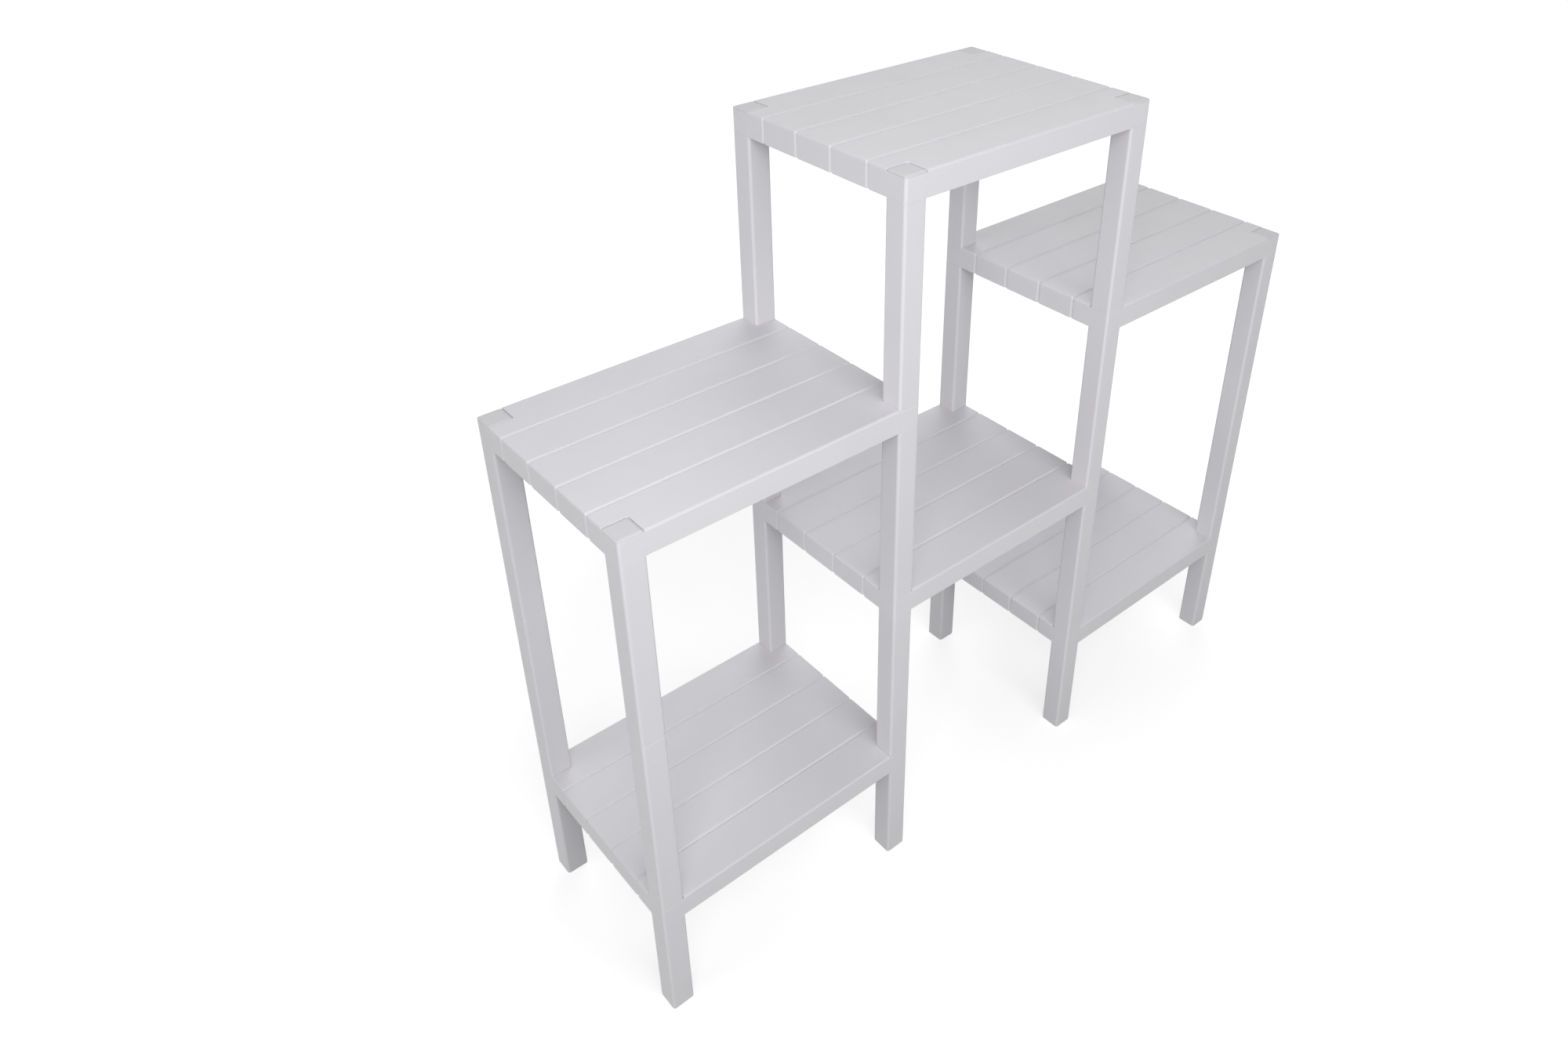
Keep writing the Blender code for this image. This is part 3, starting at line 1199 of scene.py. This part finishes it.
    def build_post(self, post: str) -> None:
        """Make every piece of a post.

        The word that follows the post's name in a node's name tells the kind of piece. With each
        kind stands how many necks it has below and above, which its two heights leave out.

        Args:
            post: What the names of the post's nodes start with.
        """
        low, high = node_box(f"{post}_foot")
        middle = (low + high)[:2] / 2
        forms = {
            "foot": (self.foot, 0, 1),
            "leg": (self.leg, 1, 1),
            "coupler": (self.coupler, 0, 0),
            "cap": (self.cap, 1, 0),
        }
        for node in sorted(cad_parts):
            kind = node.removeprefix(f"{post}_").partition("_")[0]
            if kind in forms:
                form, below, above = forms[kind]
                low, high = node_box(node)
                bottom = low[2] + below * self.neck_length
                self.build(node, form(bottom, high[2] - above * self.neck_length), middle)


# The studio


class LampKind(Enum):
    """What a lamp is."""

    FAR = "far away and very wide, so its light comes softly from one side"
    PANEL = "a square panel near the unit"


@dataclass(frozen=True)
class Lamp:
    """A soft lamp that shines at the middle of the unit.

    Attributes:
        name: The lamp's name.
        kind: What the lamp is.
        place: Where a panel hangs, and in which direction a far lamp lies.
        strength: Watts for a panel, and watts on a square metre for a far lamp.
        width: The width of a panel.
        spread: How wide a far lamp looks from the unit, in degrees.
    """

    name: str
    kind: LampKind
    place: tuple[float, float, float]
    strength: float
    width: float = 1.1
    spread: float = 40.0

    def build(self) -> None:
        """Hang the lamp, out of the camera's sight."""
        far = self.kind is LampKind.FAR
        light = bpy.data.lights.new(self.name, "SUN" if far else "AREA")
        light.energy = self.strength
        if far:
            light.angle = math.radians(self.spread)
        else:
            light.shape = "SQUARE"
            light.size = self.width
        lamp = bpy.data.objects.new(self.name, light)
        lamp.location = self.place
        lamp.rotation_mode = "QUATERNION"
        aim = Vector() if far else UNIT_MIDDLE
        lamp.rotation_quaternion = (aim - Vector(self.place)).to_track_quat("-Z", "Y")
        lamp.visible_camera = False
        bpy.context.scene.collection.objects.link(lamp)


@dataclass
class Studio:
    """The floor, the lamps, the background and the camera.

    Attributes:
        camera_place: Where the camera stands.
        azimuth: The camera's direction round the unit, in degrees.
        elevation: The camera's direction above the horizon, in degrees.
        roll: The camera's turn about its own axis, in degrees.
        lens: The focal length, in millimetres.
        sensor: The width of the camera's sensor, in millimetres.
        shift: How far the picture is shifted across and up, as shares of its width.
        sight: The nearest and the farthest distance that the camera sees.
        floor_half: Half the width of the floor.
        floor_level: The floor's height, a hair below the feet.
        floor_tone: The floor's colour.
        floor_lift: How much brighter than its light the camera sees the floor far from the unit.
        painted_shade_lift: How much brighter it sees the floor near the unit, where the shadow
            stays; being less than far away, it also paints a faint shade round the unit.
        painted_shade_reach: The distances from the unit's middle between which one becomes the
            other.
        sky: The strength of the light from all round.
        lamps: The lamps.
    """

    camera_place: tuple[float, float, float] = (-1.00138, -0.99493, 1.48291)
    azimuth: float = -41.041
    elevation: float = 31.160
    roll: float = 0.297
    lens: float = 27.8583
    sensor: float = 36.0
    shift: tuple[float, float] = (-0.04594, -0.08264)
    sight: tuple[float, float] = (0.05, 60.0)
    floor_half: float = 12.0
    floor_level: float = -0.0001
    floor_tone: float = 0.55
    floor_lift: float = 0.80
    painted_shade_lift: float = 0.64
    painted_shade_reach: tuple[float, float] = (0.6, 1.1)
    sky: float = 0.30
    lamps: tuple[Lamp, ...] = (
        Lamp("left_lamp", LampKind.FAR, (-0.966, 0.0, 0.259), 0.618),
        Lamp("back_lamp", LampKind.FAR, (0.5, 0.5, 0.707), 0.648),
        Lamp("high_panel", LampKind.PANEL, (-1.15, -1.2, 1.75), 12.2, width=0.9),
        Lamp("front_panel", LampKind.PANEL, (-0.3, -1.9, 1.6), 13.6),
    )

    def build(self) -> None:
        """Make the whole studio."""
        self.build_camera()
        self.build_floor()
        self.build_sky()
        for lamp in self.lamps:
            lamp.build()
        bpy.context.scene.view_settings.view_transform = "Standard"

    def build_camera(self) -> None:
        """Place the camera as in the photograph."""
        turn, rise = math.radians(self.azimuth), math.radians(self.elevation)
        level = math.cos(rise)
        back = Vector((math.sin(turn) * level, -math.cos(turn) * level, math.sin(rise)))
        camera = bpy.data.cameras.new("camera")
        camera.sensor_width = self.sensor
        camera.lens = self.lens
        camera.shift_x, camera.shift_y = self.shift
        camera.clip_start, camera.clip_end = self.sight
        stand = bpy.data.objects.new("camera", camera)
        stand.rotation_mode = "QUATERNION"
        aim = (-back).to_track_quat("-Z", "Y")
        stand.rotation_quaternion = aim @ Quaternion((0, 0, 1), math.radians(self.roll))
        stand.location = self.camera_place
        bpy.context.scene.collection.objects.link(stand)
        bpy.context.scene.camera = stand

    def seen(self, tree: bpy.types.NodeTree) -> bpy.types.NodeSocket:
        """Add a switch that is 1 for the rays that show the white ground and 0 for the others.

        Args:
            tree: The node tree of the world or a material.

        Returns:
            The switch's value.
        """
        path = tree.nodes.new("ShaderNodeLightPath")
        share = path.outputs[SEEN_RAYS[0]]
        for kind in SEEN_RAYS[1:]:
            either = tree.nodes.new("ShaderNodeMath")
            either.operation = "MAXIMUM"
            tree.links.new(share, either.inputs[0])
            tree.links.new(path.outputs[kind], either.inputs[1])
            share = either.outputs["Value"]
        return share

    def show(
        self,
        tree: bpy.types.NodeTree,
        plain: bpy.types.NodeSocket,
        white: bpy.types.NodeSocket,
        output: bpy.types.Node,
    ) -> None:
        """Let the seen rays meet one shader and all other rays another.

        Args:
            tree: The node tree of the world or a material.
            plain: The shader for the other rays, which light the unit.
            white: The shader for the seen rays.
            output: The tree's output.
        """
        pick = tree.nodes.new("ShaderNodeMixShader")
        tree.links.new(self.seen(tree), pick.inputs["Fac"])
        tree.links.new(plain, pick.inputs[1])
        tree.links.new(white, pick.inputs[2])
        tree.links.new(pick.outputs["Shader"], output.inputs["Surface"])

    def build_floor(self) -> None:
        """Lay a pale floor that keeps the unit's shadow, with a faint painted shade round the unit,
        and is white to the camera away from it.
        """
        corners = np.array([[-1, -1, 0], [1, -1, 0], [1, 1, 0], [-1, 1, 0]]) * self.floor_half
        corners[:, 2] = self.floor_level
        floor = make_piece("floor", corners, [np.array([[0, 1, 2, 3]])])
        material = bpy.data.materials.new("pale_floor")
        material.use_nodes = True
        tree = material.node_tree
        tree.nodes.clear()
        output = tree.nodes.new("ShaderNodeOutputMaterial")
        matt = tree.nodes.new("ShaderNodeBsdfDiffuse")
        matt.inputs["Color"].default_value = (*[self.floor_tone] * 3, 1)
        glow = tree.nodes.new("ShaderNodeEmission")
        place = tree.nodes.new("ShaderNodeTexCoord")
        away = tree.nodes.new("ShaderNodeVectorMath")
        away.operation = "LENGTH"
        # The camera sees the floor less brightened near the unit: this paints a faint shade round
        # the unit and lets its real shadow show.
        lift = tree.nodes.new("ShaderNodeMapRange")
        lift.interpolation_type = "SMOOTHSTEP"
        lift.inputs["From Min"].default_value = self.painted_shade_reach[0]
        lift.inputs["From Max"].default_value = self.painted_shade_reach[1]
        lift.inputs["To Min"].default_value = self.painted_shade_lift
        lift.inputs["To Max"].default_value = self.floor_lift
        tree.links.new(place.outputs["Object"], away.inputs[0])
        tree.links.new(away.outputs["Value"], lift.inputs["Value"])
        tree.links.new(lift.outputs["Result"], glow.inputs["Strength"])
        both = tree.nodes.new("ShaderNodeAddShader")
        tree.links.new(matt.outputs["BSDF"], both.inputs[0])
        tree.links.new(glow.outputs["Emission"], both.inputs[1])
        self.show(tree, matt.outputs["BSDF"], both.outputs["Shader"], output)
        floor.data.materials.append(material)

    def build_sky(self) -> None:
        """Light the unit softly from all round, with a white background."""
        world = bpy.data.worlds.new("studio")
        world.use_nodes = True
        tree = world.node_tree
        tree.nodes.clear()
        output = tree.nodes.new("ShaderNodeOutputWorld")
        soft = tree.nodes.new("ShaderNodeBackground")
        soft.inputs["Strength"].default_value = self.sky
        white = tree.nodes.new("ShaderNodeBackground")
        white.inputs["Strength"].default_value = 1.0
        for light in (soft, white):
            light.inputs["Color"].default_value = (1, 1, 1, 1)
        self.show(tree, soft.outputs["Background"], white.outputs["Background"], output)
        bpy.context.scene.world = world


def main() -> None:
    """Build the studio, the shelves and the posts."""
    logging.basicConfig(level=logging.INFO, format="%(message)s")
    Studio().build()
    low, high = node_box("front_left_coupler")
    post_width = (high - low)[0]
    shelf = SlattedShelf(MouldedPlastic("shelf_plastic", SHELF_TONE), post_width)
    nodes = sorted(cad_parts)
    shelf_nodes = [node for node in nodes if node.endswith("_shelf")]
    shelf.prepare(shelf_nodes[0])
    for node in shelf_nodes:
        shelf.build(node)
    kit = PostKit(
        body=MouldedPlastic("post_plastic", POST_TONE),
        top=MouldedPlastic("cap_plastic", CAP_TONE),
        half=post_width / 2,
    )
    for node in nodes:
        if node.endswith("_foot"):
            kit.build_post(node.removesuffix("_foot"))


if __name__ == "__main__":
    main()
